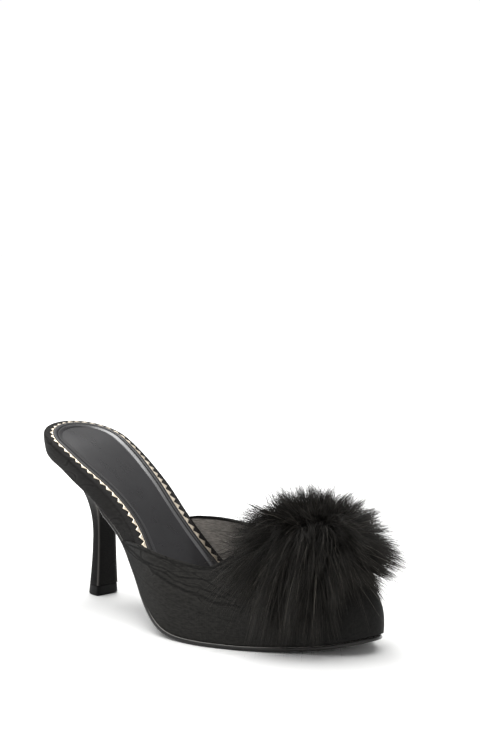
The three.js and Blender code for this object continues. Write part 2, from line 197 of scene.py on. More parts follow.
def curve_of(at, values):
    """A monotone cubic through (at, values) that runs straight on past its ends."""
    at = np.array(at)
    values = np.array(values)
    step = np.diff(values) / np.diff(at)
    product = step[:-1] * step[1:]
    total = np.where(product > 0, step[:-1] + step[1:], 1)
    slope = np.concatenate([step[:1], np.where(product > 0, 2 * product / total, 0), step[-1:]])

    def curve(v):
        held = np.clip(v, at[0], at[-1])
        i = np.clip(np.searchsorted(at, held) - 1, 0, len(at) - 2)
        width = at[i + 1] - at[i]
        s = (held - at[i]) / width
        inside = (values[i] * (1 + 2 * s) * (1 - s) ** 2 + slope[i] * width * s * (1 - s) ** 2
                  + values[i + 1] * s * s * (3 - 2 * s) + slope[i + 1] * width * s * s * (s - 1))
        past = v - held
        return inside + past * np.where(past < 0, slope[0], slope[-1])

    return curve


# Sections of the last at shares of its length: half width, middle towards the inner side as a share
# of the ball's width, the arch as a share of the seat's rise, and the toe spring's share.
last_rows = np.array([
    [0.0, 0.5 * seat_width, 0.0, 1.0, 0],
    [0.101, 0.495 * seat_width, -0.004, 0.888, 0],
    [0.171, 0.48 * seat_width, -0.002, 0.78, 0],
    [0.252, 0.435 * seat_width, -0.003, 0.648, 0],
    [0.338, 0.267 * ball_width, -0.031, 0.488, 0],
    [0.424, 0.304 * ball_width, -0.084, 0.3, 0],
    [0.495, 0.36 * ball_width, -0.108, 0.14, 0],
    [0.56, 0.428 * ball_width, -0.092, 0.04, 0],
    [0.616, 0.472 * ball_width, -0.057, 0.003, 0],
    [0.677, 0.497 * ball_width, -0.018, 0, 0],
    [0.752, 0.462 * ball_width, 0.02, 0, 0],
    [0.818, 0.384 * ball_width, 0.042, 0, 0.04],
    [0.883, 0.284 * ball_width, 0.052, 0, 0.2],
    [0.939, 0.205 * ball_width, 0.054, 0, 0.48],
    [1.0, 0.15 * ball_width, 0.05, 0, 1],
])


def smooth_of(column):
    """A column's curve along the last, averaged over a short stretch that takes its corners out."""
    curve = curve_of(last_rows[:, 0], last_rows[:, column])

    def smooth(x):
        reach = np.clip(np.minimum(x, shoe_length - x), 0, 0.022 * shoe_length)
        taps = [curve((x + tap * reach) / shoe_length) for tap in (-1, -0.6, -0.2, 0.2, 0.6, 1)]
        return sum(taps) / len(taps)

    return smooth


half_at = smooth_of(1)
middle_share = smooth_of(2)
arch_share = smooth_of(3)
spring_share = smooth_of(4)


def middle_at(x):
    """The middle of the feather line, towards the inner side."""
    return middle_share(x) * ball_width


def rise_at(x):
    """The feather plane's height over the floor."""
    return gap + sole_thickness + arch_share(x) * seat_rise + spring_share(x) * toe_spring


def station_x(t):
    """A station from 0 at the back to 1 at the toe, as a length from the back, crowded at both ends."""
    return shoe_length * (1 - np.cos(np.pi * t)) / 2


def station_of(x):
    """The station at a length from the back."""
    return np.arccos(1 - 2 * x / shoe_length) / np.pi


def round_end(distance, radius):
    """A quarter ellipse that rounds the outline's end."""
    return np.sqrt(1 - np.clip(1 - distance / radius, 0, 1) ** 2)


def outline(t, side):
    """The feather line in plan on the outer side, -1, or the inner side, 1."""
    x = station_x(t)
    half = half_at(x) * round_end(x, seat_round) * round_end(shoe_length - x, toe_round)
    return x, middle_at(x) + side * half


def inset_point(t, side, inset):
    """The feather line moved in by an inset along its normal, in plan."""
    reach = np.minimum(0.002, np.minimum(t, 1 - t))
    x0, y0 = outline(t - reach, side)
    x1, y1 = outline(t + reach, side)
    long = np.maximum(np.hypot(x1 - x0, y1 - y0), 1e-12)
    along_x = (x1 - x0) / long
    along_y = np.where(t <= 0, side, np.where(t >= 1, -side, (y1 - y0) / long))
    x, y = outline(t, side)
    return x + side * along_y * inset, y - side * along_x * inset


def place(x, y, height):
    """A point at a height along the feather plane's normal, in the frame of the solids."""
    lean = np.arctan(rise_at(x + 0.5) - rise_at(x - 0.5))
    return np.stack([x - heel_from_back - height * np.sin(lean), y + 0 * height,
                     rise_at(x) + height * np.cos(lean)], -1)


def rim_point(t, side, inset, height):
    """A point inside the feather line by an inset, at a height."""
    x, y = inset_point(t, side, inset)
    return place(x, y, height)


def grid_faces(rows, columns, wrap):
    """Quads between neighbours of a grid of points. A wrapped grid's last column joins its first."""
    i, j = np.meshgrid(np.arange(rows - 1), np.arange(columns if wrap else columns - 1), indexing="ij")
    a = i * columns + j
    b = i * columns + (j + 1) % columns
    return np.stack([a, b, b + columns, a + columns], -1).reshape(-1, 4)


def make_piece(name, points, material, marks=None, faces=None):
    """A smooth mesh from points in mm and quads. Without faces, the points are rows of closed loops.
    Points that meet are joined, a quad that loses a corner becomes a triangle, and the faces are
    turned so that the shell's volume is positive."""
    if faces is None:
        faces = grid_faces(*points.shape[:2], True)
    points = points.reshape(-1, 3)
    key = np.round(points / 2e-4).astype(np.int64)
    _, first, inverse = np.unique(key, axis=0, return_index=True, return_inverse=True)
    faces = inverse.reshape(-1)[faces]
    spots = points[first]
    same = faces == np.roll(faces, -1, axis=1)
    quads = faces[same.sum(1) == 0]
    thin = faces[same.sum(1) == 1]
    drop = np.argmax(same[same.sum(1) == 1], axis=1)
    keep = (drop[:, None] + np.array([1, 2, 3])) % 4
    triangles = np.take_along_axis(thin, keep, 1)
    arms = spots[np.concatenate([quads[:, :3], quads[:, [0, 2, 3]], triangles])] - spots.mean(0)
    volume = np.einsum("ij,ij->i", arms[:, 0], np.cross(arms[:, 1], arms[:, 2])).sum()
    if volume < 0:
        quads = quads[:, ::-1]
        triangles = triangles[:, ::-1]
    mesh = bpy.data.meshes.new(name)
    mesh.vertices.add(len(spots))
    mesh.vertices.foreach_set("co", (spots / 1000).ravel())
    mesh.loops.add(quads.size + triangles.size)
    mesh.loops.foreach_set("vertex_index", np.concatenate([quads.ravel(), triangles.ravel()]))
    starts = np.concatenate([np.arange(len(quads)) * 4, quads.size + np.arange(len(triangles)) * 3])
    mesh.polygons.add(len(starts))
    mesh.polygons.foreach_set("loop_start", starts)
    mesh.polygons.foreach_set("use_smooth", np.ones(len(starts), bool))
    for mark, values in (marks or {}).items():
        layer = mesh.attributes.new(mark, "FLOAT_VECTOR", "POINT")
        layer.data.foreach_set("vector", values.reshape(-1, 3)[first].ravel())
    mesh.update(calc_edges=True)
    mesh.validate()
    mesh.materials.append(material)
    return new_object(name, mesh)


def sole_form():
    """Closed loops from the breast to the toe. Each goes over the top, round the outer edge, under
    the tread and round the inner edge. The edge is a half round of the sole's thickness. The sole is
    skived thin and drawn in where it meets the heel. The first loop is a point, which closes the end,
    and the top is pressed into the bed."""
    t = mix(station_of(breast_from_back), 1.0, steps(170) ** 0.97)[:, None]
    x = station_x(t)
    tuck = 1.7 * (1 - part(x, 0.42, 0.58)) + 1.8 * part(x, 0.86, 1)
    tuck = tuck + 1.3 * (1 - ramp(x - breast_from_back, 0, 9))
    turn = np.linspace(0, np.pi, 13)[None]
    bulge = 1.15
    welt = 0.75
    pressed = 0.45
    edge = tuck - welt + bulge * (1 - np.sin(turn))
    skive = mix(0.2, 1.0, ramp(x - breast_from_back, -1, 9))
    height = -gap + skive * sole_thickness / 2 * (np.cos(turn) * np.abs(np.cos(turn)) ** -0.25 - 1)
    near = rim_point(t, -1, edge, height)
    far = rim_point(t, 1, edge, height)[:, ::-1]
    across = steps(26)[1:-1][None, :, None]
    tread = mix(near[:, -1:], far[:, :1], across)
    top = mix(far[:, -1:], near[:, :1], across) + np.array([0, 0, pressed])
    loops = np.concatenate([near, tread, far, top], 1)
    return np.concatenate([np.broadcast_to(loops[:1].mean(1, keepdims=True), loops[:1].shape), loops])


def noise(material, scale, detail, stretch=None, turn=(0.0, 0.0, 0.0), **more):
    """Adds a noise texture in the object's own coordinates, which may be turned and then stretched.
    more names other sockets."""
    vector = add(material, "TexCoord").outputs["Object"]
    if stretch:
        vector = add(material, "Mapping", {"Vector": vector, "Rotation": turn, "Scale": stretch})
    return add(material, "TexNoise", {"Vector": vector, "Scale": scale, "Detail": detail, **more})


def spread(material, value, low, high, start=0.0, end=1.0):
    """Adds a map from the range start to end onto the range low to high."""
    return add(material, "MapRange", {"Value": value, "From Min": start, "From Max": end,
                                      "To Min": low, "To Max": high})


def blend(material, share, first, second):
    """Adds a mix of two colours, the first at a share of 0."""
    return add(material, "MixRGB", {"Fac": share, "Color1": first, "Color2": second})


def maths(material, operation, first, second=0.0):
    """Adds a node that works on one or two numbers."""
    return add(material, "Math", {0: first, 1: second}, operation=operation)


def channels(material, name):
    """The X, Y and Z of a mesh's vector attribute."""
    read = add(material, "Attribute", attribute_name=name)
    return add(material, "SeparateXYZ", {"Vector": read.outputs["Vector"]}).outputs


burnished = blank("burnished_sole_edge")
# Vegetable-tanned leather, inked black and waxed: a deep gloss with faint drag marks along the edge,
# and a paler line painted along its upper corner: a painted highlight for the glint of light on its top.
drag_marks = noise(burnished, 1.0, 3.0, (40.0, 40.0, 900.0))
drag_gloss = spread(burnished, drag_marks, 0.22, 0.36)
drag_tone = blend(burnished, drag_marks, shade("#0c0b0a"), shade("#171513"))
# The ridge attribute paints a highlight: a pale line along the edge's upper corner.
painted_highlight_tone = blend(burnished, channels(burnished, "ridge")["X"], drag_tone, shade("#9a9894"))
sole_bump = bump(burnished, noise(burnished, 900.0, 2.0), 0.2, 0.00006)
principled(burnished, {"Base Color": painted_highlight_tone, "Roughness": drag_gloss, "Coat Weight": 0.15,
                       "Coat Roughness": 0.15, "Specular IOR Level": 0.25, "Normal": sole_bump})

sole_points = sole_form()
sole_highlight_marks = np.zeros(sole_points.shape)
# The columns along the top of the edge that take the painted highlight.
upper_corners = [2, 47]
sole_highlight_marks[:, upper_corners, 0] = 1.0
sole = make_piece("sole_leather", sole_points, burnished, {"ridge": sole_highlight_marks})
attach(sole, "root")
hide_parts("outsole")


# Footbed
# A moulded board with foam on it, wrapped in the watered fabric of the upper. The fabric is drawn
# round the rim, so its border is crowned and its side turns in under the seat.
seat_thickness = 10.9
waist_thickness = 10.0
fore_thickness = 4.0
rim_drop = 0.8
rim_power = 4.0
dish_depth = 2.0
dish_power = 2.4


def thickness_at(x):
    """The bed's thickness at its middle."""
    back = mix(seat_thickness, waist_thickness, part(x, 0.15, 0.4))
    return mix(back, fore_thickness, part(x, 0.45, 0.66))


def border_at(x):
    """The width of the fabric border round the sock."""
    return mix(4.2, 6.2, part(x, 0.12, 0.36))


def crown_point(t, side, inset, lift):
    """A point on the bed's crowned top. The rim drops away inside the border."""
    x, y = inset_point(t, side, inset)
    drop = rim_drop * np.clip(1 - inset / border_at(x), 0, 1) ** rim_power
    return place(x, y, thickness_at(x) - drop + lift)


def between(t, near_inset, far_inset, shares):
    """Places in plan across stations, between insets on the outer and the inner side, and the width."""
    near_x, near_y = inset_point(t, -1, near_inset)
    far_x, far_y = inset_point(t, 1, far_inset)
    width = np.hypot(far_x - near_x, far_y - near_y)
    return mix(near_x, far_x, shares), mix(near_y, far_y, shares), width


def bed_top(t, inset, shares):
    """The dished top across stations, between the outline's insets on both sides."""
    x, y, width = between(t, inset, inset, shares)
    full = np.minimum(1, 2 * width / seat_width)
    dish = dish_depth * (1 - part(x, 0.4, 0.6)) * full
    return place(x, y, thickness_at(x) - dish * (1 - np.abs(2 * shares - 1) ** dish_power))


# The topline of the vamp, as a surface over the floor plan, which the bed is rebated under.
topline_share = curve_of([0.192, 0.35, 0.414, 0.495, 0.555, 0.606, 0.677, 0.798],
                         [0.86, 0.915, 0.975, 1.005, 0.985, 0.955, 0.915, 0.9])
topline_height = 45.5
topline_tilt = 0.155
throat_from_back = 164.3
throat_reach = 14.0
throat_rise = 11.0


def over_topline(points):
    """How high points lie over the topline, which tilts up to the inner side and climbs at the
    throat."""
    x = points[..., 0] + heel_from_back
    climb = throat_rise * (np.maximum(0, x - throat_from_back + throat_reach) / throat_reach) ** 2
    return points[..., 2] - (topline_height * topline_share(x / shoe_length)
                             + topline_tilt * points[..., 1] + climb)


def bed_form():
    """Closed loops from the seat's back to the toe. Each goes up the outer side, over the top and
    down the inner side. Below the topline the side is set in a little, out of the vamp's wall."""
    t = steps(230)[:, None]
    x = station_x(t)
    taper = mix(3.4, 0.3, part(x, 0.14, 0.3))
    shoulder = thickness_at(x) - rim_drop
    up = steps(14)[None]
    side_inset = taper * (1 - up ** 0.9) ** 1.25 + 0.4 * (1 - up / 0.12).clip(0) ** 2
    side_height = up * (shoulder - 0.35)
    turn = steps(11)[None, 1:]
    crown_inset = border_at(x) * turn ** 1.6
    crown_height = thickness_at(x) - rim_drop * (1 - turn ** 1.6) ** rim_power - 0.35 * (1 - turn) ** 8
    inset = np.concatenate([side_inset, crown_inset], 1)
    height = np.concatenate([side_height, crown_height], 1)
    wrap = 0.5 * part(x, 0.24, 0.34)
    halves = []
    for side in (-1, 1):
        rough = rim_point(t, side, inset + wrap, height)
        under = -over_topline(rough)
        tucked = np.maximum(inset + wrap, 0.3 * ramp(under, -0.9, -0.1))
        halves.append(rim_point(t, side, tucked, height))
    shares = steps(26)[None, 1:-1]
    top = bed_top(t, border_at(x) + wrap, shares)
    base = mix(halves[1][:, :1], halves[0][:, :1], shares[..., None])
    return np.concatenate([halves[0], top, halves[1][:, ::-1], base], 1)


def watered_fabric(name, dark, light, ribs_along, figure_turn, figure_depth, guided=False, fold=None):
    """Ribbed rayon-like fabric with a watered figure. The ribs are 0.9 mm apart, drawn coarser than
    the real 0.45 so that they show. The figure is the contour lines of a slow noise, drawn out along
    one direction, where crushed ribs turn the light away in thin dark lines with a pale side. On a
    guided fabric the distances from placed lines join them, and an attribute gives the strength. A
    fold colour is the outer fabric, turned in 1.5 mm over the topline."""
    fabric = blank(name)
    field = noise(fabric, 1.0, 1.6, (16.0, 70.0, 70.0), figure_turn, Roughness=0.4, Distortion=0.3)
    count = maths(fabric, "MULTIPLY", field, 9.0)
    contour = maths(fabric, "PINGPONG", count, 0.5)
    patch = noise(fabric, 45.0, 1.0)
    strong = spread(fabric, patch, 0.25 * figure_depth, figure_depth, 0.38, 0.58)
    nearest = contour
    painted_shade_share = 0.0
    if guided:
        nearest = maths(fabric, "ADD", contour, 0.035)
        shift = spread(fabric, noise(fabric, 1.0, 2.0, (55.0, 110.0, 110.0)), -1.5, 1.5)
        for source, sharp in (("figure", (0.19, 0.1, 0.2)), ("figure_more", (0.19, 0.2, 1.0))):
            lines = add(fabric, "Attribute", attribute_name=source).outputs["Vector"]
            moved = add(fabric, "VectorMath", {0: lines, 1: shift}, operation="ADD")
            away = add(fabric, "VectorMath", {0: moved}, operation="ABSOLUTE")
            scaled = add(fabric, "VectorMath", {0: away, 1: sharp}, operation="MULTIPLY")
            for channel in add(fabric, "SeparateXYZ", {"Vector": scaled}).outputs:
                nearest = maths(fabric, "MINIMUM", nearest, channel)
        force = channels(fabric, "figure_force")
        strong = force["X"]
        # A dark line 1.5 mm under the topline: the stitch row, painted dark as shade under the folded edge.
        from_stitch = maths(fabric, "SUBTRACT", force["Y"], 1.5)
        stitch_away = maths(fabric, "ABSOLUTE", from_stitch)
        stitch_far = maths(fabric, "MULTIPLY", stitch_away, 0.16)
        nearest = maths(fabric, "MINIMUM", nearest, stitch_far)
        # The third channel is painted shade, which darkens the cloth where shade falls on the vamp.
        painted_shade_share = force["Z"]
    ring = add(fabric, "ValToRGB", {"Fac": nearest})
    ring.color_ramp.interpolation = "EASE"
    stops = ring.color_ramp.elements
    stops.new(0.3)
    for i, (position, grey) in enumerate(((0.02, 0.0), (0.13, 1.0), (0.3, 0.62))):
        stops[i].position = position
        stops[i].color = (grey, grey, grey, 1)
    shown = blend(fabric, strong, (0.62, 0.62, 0.62, 1), ring)
    spot = add(fabric, "TexCoord").outputs["Object"]
    ribs = add(fabric, "TexWave", {"Vector": spot, "Scale": 349.0, "Distortion": 1.2, "Detail": 1.0,
                                   "Detail Scale": 0.6}, wave_type="BANDS", bands_direction=ribs_along)
    threads = noise(fabric, 1.0, 2.0, (330.0, 900.0, 1500.0), figure_turn)
    slubs = spread(fabric, threads, 0.0, 1.0, 0.32, 0.68)
    worn = blend(fabric, 0.2, shown, ribs.outputs["Color"])
    mottled = blend(fabric, 0.44, worn, slubs)
    full = blend(fabric, mottled, shade(dark), shade(light))
    tone = blend(fabric, painted_shade_share, full, shade(dark))
    # The lap channel paints a highlight: it lightens the fabric along the heel's lapped breast edges.
    highlit_and_folded = blend(fabric, channels(fabric, "lap_and_highlight")["X"], tone, shade("#585653"))
    if fold:
        turned = spread(fabric, channels(fabric, "figure_force")["Y"], 1.0, 0.0, 1.2, 1.8)
        highlit_and_folded = blend(fabric, turned, highlit_and_folded, shade(fold))
    rib_bump = bump(fabric, ribs.outputs["Fac"], 0.35, 0.00012)
    figure_bump = bump(fabric, shown, 0.5, 0.00022, Normal=rib_bump)
    gloss = spread(fabric, shown, 0.8, 0.6)
    return principled(fabric, {"Base Color": highlit_and_folded, "Roughness": gloss, "Specular IOR Level": 0.09,
                               "Normal": figure_bump})


bed_fabric = watered_fabric("watered_fabric_bed", "#0b0a0a", "#222120", "X", (0.0, 0.55, 0.0), 0.7)
bed = make_piece("bed_cover", bed_form(), bed_fabric)
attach(bed, "root")
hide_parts("footbed")


# Sock
# A smooth charcoal lining leather, cemented on the bed over the metallic strip. A crease,
# which stands for a line of fine stitches, runs round it inside its bevelled edge. The crease and the
# bevelled edge are painted dark: painted shade in the crease and at the edge's step.
near_shift = 1.3


def sock_inset(t, side):
    """Where the sock's border lies inside the feather line. It reaches further out on the outer side."""
    x = station_x(t)
    shift = near_shift * part(x, 0.02, 0.24) * (1 - part(x, 0.55, 0.7))
    return border_at(x) + 0.3 - np.where(side < 0, shift, 0.0)


def sock_form():
    """Closed loops. Each crosses the top from the outer to the inner edge and comes back under. The
    top is dished like the bed from edge to edge, with a stitched crease 2.4 mm inside the edge."""
    t = steps(300)[:, None]
    past = np.array([0.0, 0.0, 0.08, 0.25, 0.5, 0.9, 1.3, 1.7, 1.9, 2.1, 2.4, 2.7, 2.9, 3.1, 3.4, 3.7, 4.0,
                     4.3, 4.6, 5.0])[None]
    top = np.array([0.0, 0.3, 0.48, 0.58, 0.64, 0.66, 0.66, 0.66, 0.64, 0.56, 0.42, 0.56, 0.64, 0.65, 0.65,
                    0.65, 0.65, 0.65, 0.65, 0.65])[None]
    narrow = 1 - 0.45 * part(station_x(t), 0.9, 1.0)
    margin = past[0, -1] * narrow
    shares = steps(40)[None, 1:-1]
    near_in, far_in = [sock_inset(t, side) * narrow + margin for side in (-1, 1)]
    inner_x, inner_y, inner_width = between(t, near_in, far_in, shares)
    full_width = inner_width + 2 * margin
    back_edge = border_at(0.0) + 0.3
    run_in = 18.0

    def dished(x, y, share, lift, inset):
        """A point of the top, sunk by a power curve across the sock, and along its first stretch. The
        dish starts softly inside the edge and fades out under the vamp."""
        behind = 1 - np.clip((x - back_edge) / run_in, 0, 1)
        from_edge = np.minimum(share, 1 - share) * full_width
        sunk = dish_depth * (1 - np.abs(2 * share - 1) ** dish_power) * ramp(from_edge, 0.5, 8)
        sunk = sunk * (1 - behind ** dish_power) * ramp(x - back_edge, 0.5, 8)
        sunk = sunk * (1 - part(x, 0.4, 0.6))
        drop = rim_drop * np.clip(1 - inset / border_at(x), 0, 1) ** rim_power
        return place(x, y, thickness_at(x) - drop - sunk + 0.1 + lift)

    halves = []
    for side in (-1, 1):
        inset = sock_inset(t, side) * narrow + past * narrow
        x, y = inset_point(t, side, inset)
        halves.append(dished(x, y, past * narrow / full_width, top, inset))
    near, far = halves
    across = (margin + shares * inner_width) / full_width
    middle = dished(inner_x, inner_y, across, top[0, -1], np.inf)
    under = mix(far[:, :1], near[:, :1], steps(8)[None, 1:-1, None]) + np.array([0, 0, 0.05])
    return np.concatenate([near, middle, far[:, ::-1], under], 1)


lining = blank("charcoal_sock_leather")
# Pigmented goat lining, pressed smooth: a soft even sheen, fine pores, and faint drag streaks where the
# leather was pulled on.
sock_place = add(lining, "TexCoord").outputs["Object"]
streaks = noise(lining, 1.0, 3.0, (25.0, 160.0, 160.0), (0.0, 0.5, 0.35))
clouds = noise(lining, 38.0, 2.0)
pits = add(lining, "TexVoronoi", {"Vector": sock_place, "Scale": 1100.0})
sock_mix = blend(lining, 0.5, streaks.outputs["Color"], clouds.outputs["Color"])
sock_tone = blend(lining, sock_mix, shade("#0c0b0d"), shade("#19181b"))
sock_gloss = spread(lining, streaks, 0.24, 0.33)
pit_bump = bump(lining, pits, 0.05, 0.00002)
streak_bump = bump(lining, streaks, 0.05, 0.00025, Normal=pit_bump)
# Painted shade: the crease and the outer edge are darkened, and dulled, for the shade that lies in them.
crease_and_edge_shade = channels(lining, "crease_and_edge_shade")["X"]
crease = maths(lining, "MULTIPLY", crease_and_edge_shade, 0.95)
sock_shaded_tone = blend(lining, crease, sock_tone, shade("#030303"))
sock_dull = blend(lining, crease, sock_gloss, (0.95, 0.95, 0.95, 1.0))
principled(lining, {"Base Color": sock_shaded_tone, "Roughness": sock_dull, "Specular IOR Level": 0.42,
                    "Normal": streak_bump})

sock_points = sock_form()
# How much each column across the sock is painted dark as shade: the bevelled edge, then the crease.
painted_shade_columns = np.array([1, 1, 0.9, 0.7, 0.3, 0.05, 0, 0, 0.3, 1, 1, 1, 0.3, 0, 0, 0, 0, 0, 0, 0])
under_columns = 6
far_end = sock_points.shape[1] - under_columns
sock_marks = np.zeros(sock_points.shape)
sock_marks[:, :len(painted_shade_columns), 0] = painted_shade_columns
sock_marks[:, far_end - len(painted_shade_columns):far_end, 0] = painted_shade_columns[::-1]
sock = make_piece("sock_leather", sock_points, lining, {"crease_and_edge_shade": sock_marks})
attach(sock, "root")
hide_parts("sock")


# Pinked strip
# A strip of pale gold foiled leather, cut with a pinking tool and laid under the sock's border, so
# that its teeth show all round the seat and the waist.
tooth_pitch = 4.2
strip_end = 0.5


def strip_form():
    """Closed loops along the strip. Its outer edge is a triangle wave of the tooth's depth, and its
    section is a thin plate that follows the bed's crown."""
    end = station_of(strip_end * shoe_length)
    fine = np.linspace(-1, 1, 4001)
    fine_t = end * np.abs(fine)
    fine_side = np.where(fine < 0, -1.0, 1.0)
    x, y = inset_point(fine_t, fine_side, sock_inset(fine_t, fine_side))
    length = np.concatenate([[0], np.cumsum(np.hypot(np.diff(x), np.diff(y)))])
    teeth = round(length[-1] / tooth_pitch)
    points_per_tooth = 8
    here = np.linspace(0, length[-1], teeth * points_per_tooth + 1)
    s = np.interp(here, length, fine)
    t = (end * np.abs(s))[:, None]
    side = np.where(s < 0, -1.0, 1.0)[:, None]
    wave = np.abs((here / length[-1] * teeth) % 1 * 2 - 1)[:, None]
    border = sock_inset(t, side)
    grow = mix(1.0, 1.45, part(station_x(t), 0.1, 0.42))
    outer = border - np.where(side < 0, 0.1 + 1.5 * wave, 0.5 + 1.7 * wave) * grow
    across = steps(8)[None]
    row = mix(outer, border + 0.6, across)
    lift = 0.1 + 0.3 * np.array([0.15, 0.8, 1, 1, 1, 1, 1, 1])[None]
    over = crown_point(t, side, row, lift)
    under = crown_point(t, side, row[:, ::-1], 0.05)
    return np.concatenate([over, under], 1)


foil = blank("pale_gold_foil")
# Leather with a metallic foil pressed on: bright and slightly crazed, with a soft pebble under it.
foil_place = add(foil, "TexCoord").outputs["Object"]
crackle = add(foil, "TexVoronoi", {"Vector": foil_place, "Scale": 700.0})
foil_clouds = noise(foil, 220.0, 3.0)
foil_tone = blend(foil, foil_clouds, shade("#b8ab96"), shade("#dfd5c5"))
foil_gloss = spread(foil, foil_clouds, 0.28, 0.5)
principled(foil, {"Base Color": foil_tone, "Metallic": 0.8, "Roughness": foil_gloss,
                  "Normal": bump(foil, crackle, 0.4, 0.0001)})

strip_points = strip_form()
rows, columns = strip_points.shape[:2]
pairs = np.arange(columns // 2 - 1)
caps = np.stack([pairs, pairs + 1, columns - 2 - pairs, columns - 1 - pairs], -1)
strip_faces = np.concatenate([grid_faces(rows, columns, True), caps[:, ::-1], caps + (rows - 1) * columns])
strip = make_piece("pinked_strip", strip_points, foil, faces=strip_faces)
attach(strip, "root")
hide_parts("sock_edge")


# Heel
# A moulded plastic heel, slim and flared at its foot, with a flat breast. It is covered in the
# watered fabric, which is lapped over the two edges of the breast and makes a narrow raised line.
# A painted highlight lightens the fabric along that line.
lift_thickness = 5.5
tip_width = 15.2
tip_depth = 11.5
neck_width = 12.2
neck_depth = 8.4
neck_height = 33.0
flat_turns = steps(15)[:-1]
round_turns = steps(61)[:-1]
turn_flat = np.concatenate([np.ones_like(flat_turns), np.zeros_like(round_turns)]).astype(bool)
turn_share = np.concatenate([flat_turns, round_turns])
# The lap's share round the heel: it raises the fabric, and it paints a highlight along the breast edges.
lap_and_highlight = np.where(turn_flat, np.abs(2 * turn_share - 1) ** 24, (1 - np.sin(np.pi * turn_share)) ** 60)


def stem_point(height, shrink=0.0):
    """A D in plan that flares to the floor, with its breast in front at +X."""
    flare = (1 - np.clip(height / neck_height, 0, 1)) ** 1.6
    width = mix(neck_width, tip_width, flare) - 2 * shrink
    depth = mix(neck_depth, tip_depth, flare) - 2 * shrink
    angle = np.pi * turn_share
    u_flat = 0.5 - 0.05 * np.abs(2 * turn_share - 1) ** 8
    v_round = 0.47 * np.sign(np.cos(angle)) * np.abs(np.cos(angle)) ** 0.62
    u_round = 0.45 - 0.95 * np.abs(np.sin(angle)) ** 0.9
    u = np.where(turn_flat, u_flat, u_round)
    v = np.where(turn_flat, 0.94 * (turn_share - 0.5), v_round)
    return np.stack([tip_depth / 2 - shrink - depth / 2 + u * depth, v * width,
                     height + 0 * u * width], -1)


def cup_point():
    """The heel's top edge, pressed a little into the underside of the seat so that no light passes."""
    breast = station_of(breast_from_back - gap)
    sunk = 0.25
    breast_inset = 2.0
    seat_inset = 4.9
    ends = [rim_point(np.array(breast), side, np.array(breast_inset), np.array(sunk)) for side in (-1, 1)]
    flat = mix(ends[0], ends[1], turn_share[:, None])
    t = breast * np.abs(2 * turn_share - 1)
    side = np.where(turn_share < 0.5, 1.0, -1.0)
    inset = mix(seat_inset, breast_inset, ramp(t / breast, 0.45, 1))
    return np.where(turn_flat[:, None], flat, rim_point(t, side, inset, sunk + 0 * t))


def unit(vectors):
    """Vectors at a length of 1."""
    return vectors / np.maximum(np.linalg.norm(vectors, axis=-1, keepdims=True), 1e-9)


def heel_form():
    """Rings up the stem, then a bend of each side out to the seat, as a curve with one control point."""
    heights = np.linspace(lift_thickness + 0.1, neck_height, 26)[:, None]
    stem = stem_point(heights)
    share = steps(41)[1:, None, None]
    start = stem_point(np.array([[neck_height]]))
    end = cup_point()[None]
    to_breast = np.where(turn_flat, 1.0, np.abs(2 * turn_share - 1) ** 2)
    bend = start.copy()
    bend[..., 2] = mix(neck_height, end[..., 2], mix(0.58, 0.78, to_breast))
    cup = mix(mix(start, bend, share), mix(bend, end, share), share)
    rings = np.concatenate([stem, cup])
    middle = rings.mean(1, keepdims=True)
    out = rings - middle
    out[..., 2] = 0
    lap_rise = 0.35
    return rings + lap_rise * lap_and_highlight[None, :, None] * unit(out)


def closed(rings):
    """Rings with a loop of one point, their middle, at each end."""
    hub = np.repeat(rings[[0, -1]].mean(1, keepdims=True), rings.shape[1], 1)
    return np.concatenate([hub[:1], rings, hub[1:]])


# A darker copy of the watered fabric: painted shade for the heel, which stands in the shoe's shadow.
shaded_heel_fabric = watered_fabric("watered_fabric_heel_shaded", "#050505", "#131211", "Z", (0.0, 1.45, 0.0), 0.55)
heel_points = closed(heel_form())
heel_highlight_marks = np.zeros(heel_points.shape)
heel_highlight_marks[1:-1, :, 0] = lap_and_highlight
heel = make_piece("heel_cover", heel_points, shaded_heel_fabric, {"lap_and_highlight": heel_highlight_marks})
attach(heel, "root")
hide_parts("heel")


# Top lift
# A hard black compound, moulded and nailed under the heel. Its side is ground flush and left a little
# duller than the fabric, with a fine chamfer at the floor.
lift_heights = np.array([0, 0.0, 0.12, 0.35, 0.7, 2.5, 4.6, 5.1, 5.35, 5.42, 5.42])[:, None]
lift_shrink = np.array([3.9, 0.75, 0.4, 0.15, 0.02, 0.0, 0.0, 0.0, 0.12, 0.3, 3.9])[:, None]
lift_points = closed(stem_point(lift_heights, lift_shrink))

rubber = blank("ground_lift_rubber")
# Thermoplastic polyurethane, ground on a wheel: even, half matt, with fine level scratches.
scratches = noise(rubber, 1.0, 3.0, (60.0, 60.0, 2500.0))
lift_tone = blend(rubber, scratches, shade("#050505"), shade("#0f0e0e"))
lift_gloss = spread(rubber, scratches, 0.45, 0.6)
lift_bump = bump(rubber, scratches, 0.25, 0.00008)
principled(rubber, {"Base Color": lift_tone, "Roughness": lift_gloss, "Specular IOR Level": 0.12,
                    "Normal": lift_bump})
lift = make_piece("lift_rubber", lift_points, rubber)
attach(lift, "root")
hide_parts("top_lift")


# Upper
# One vamp of the watered fabric over a thin lining, lasted under the bed. Its topline is folded in
# and stitched 1.5 mm from the edge. The sides bulge a little over the feather line.
wall = 1.0
vamp_height = 46.0
toe_setback = 15.0
side_bulge = 1.5
ridge_share = curve_of([0.242, 0.444, 0.596, 0.697, 0.778, 0.848, 0.899, 0.939],
                       [2.2, 1.62, 1.2, 1.04, 0.95, 0.865, 0.79, 0.71])


